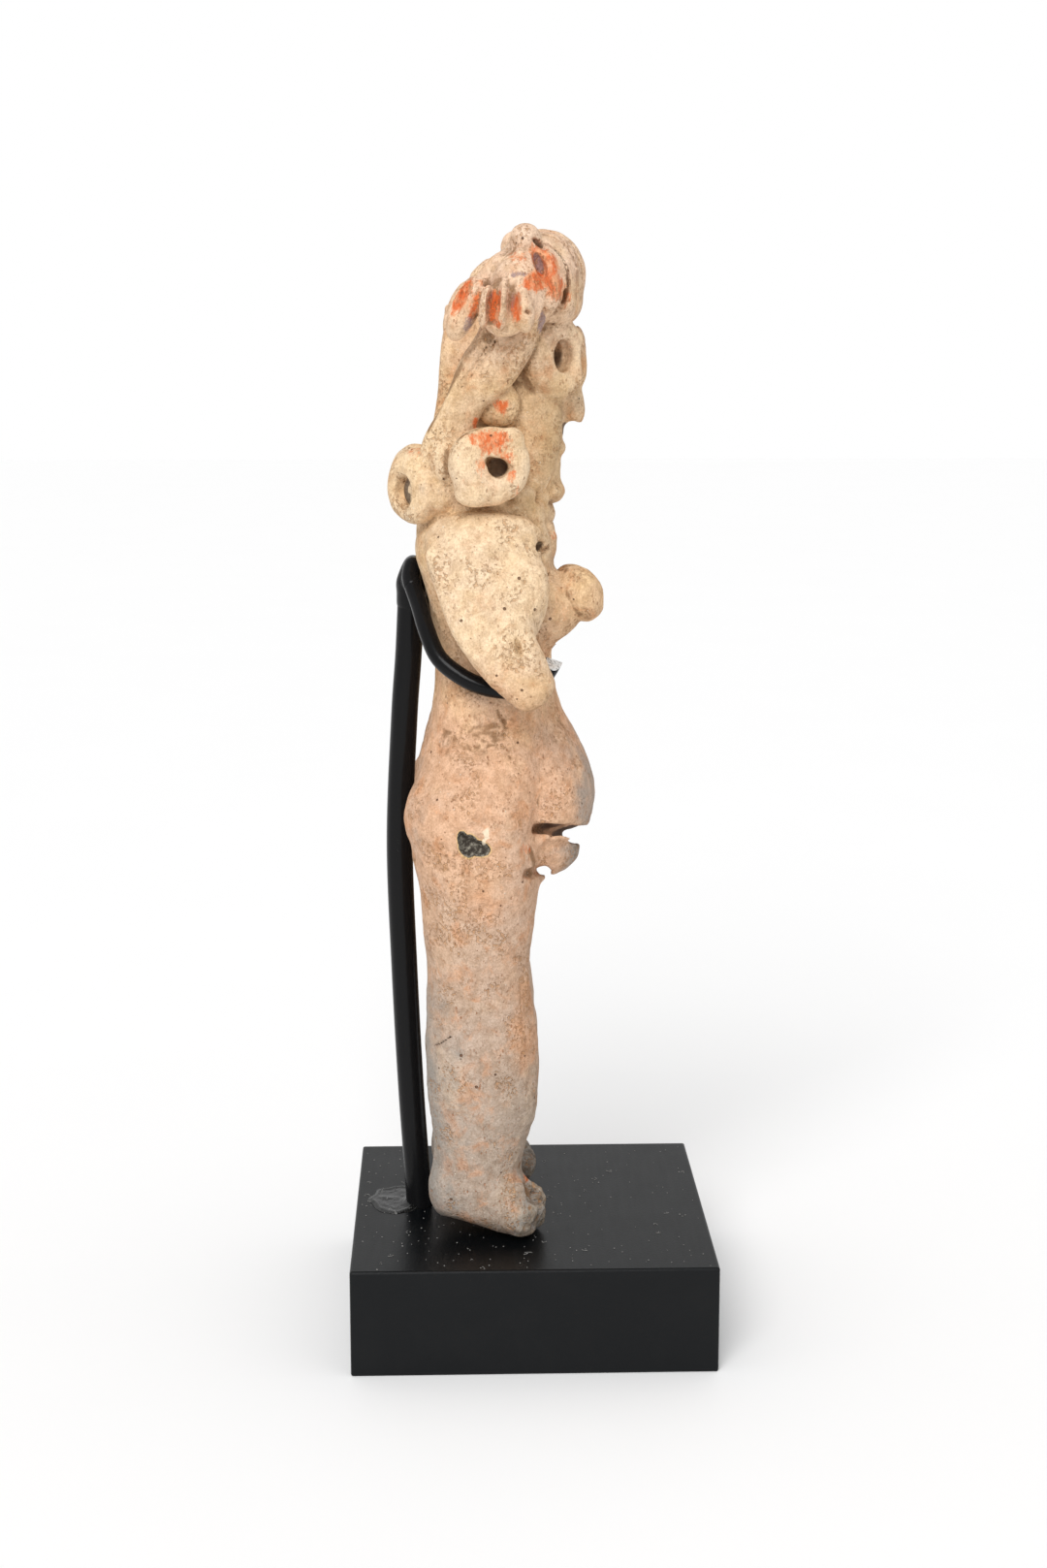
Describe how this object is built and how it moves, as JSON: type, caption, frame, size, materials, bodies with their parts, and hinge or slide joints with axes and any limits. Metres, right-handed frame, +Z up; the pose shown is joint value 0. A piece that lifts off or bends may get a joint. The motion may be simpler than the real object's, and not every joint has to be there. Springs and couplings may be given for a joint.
{
  "type": "terracotta fertility figure on display stand",
  "caption": "Hand-built standing clay fertility figure with headdress, ear spools and full belly, held at the waist by a wire claw on a bowed rod set in a square block.",
  "frame": {"origin": "middle of the block's underside, on the surface that the object stands on", "axes": "+Z up; the figure faces -Y, with its right side at -X; the rod stands behind it, towards +Y"},
  "size_m": [0.0636, 0.0636, 0.1942],
  "materials": {
    "terracotta": "matte",
    "black_paint": "satin",
    "black_block": "satin"
  },
  "bodies": {
    "root": {"figure": "terracotta", "claw_stand": "black_paint", "block": "black_block"}
  },
  "joints": []
}
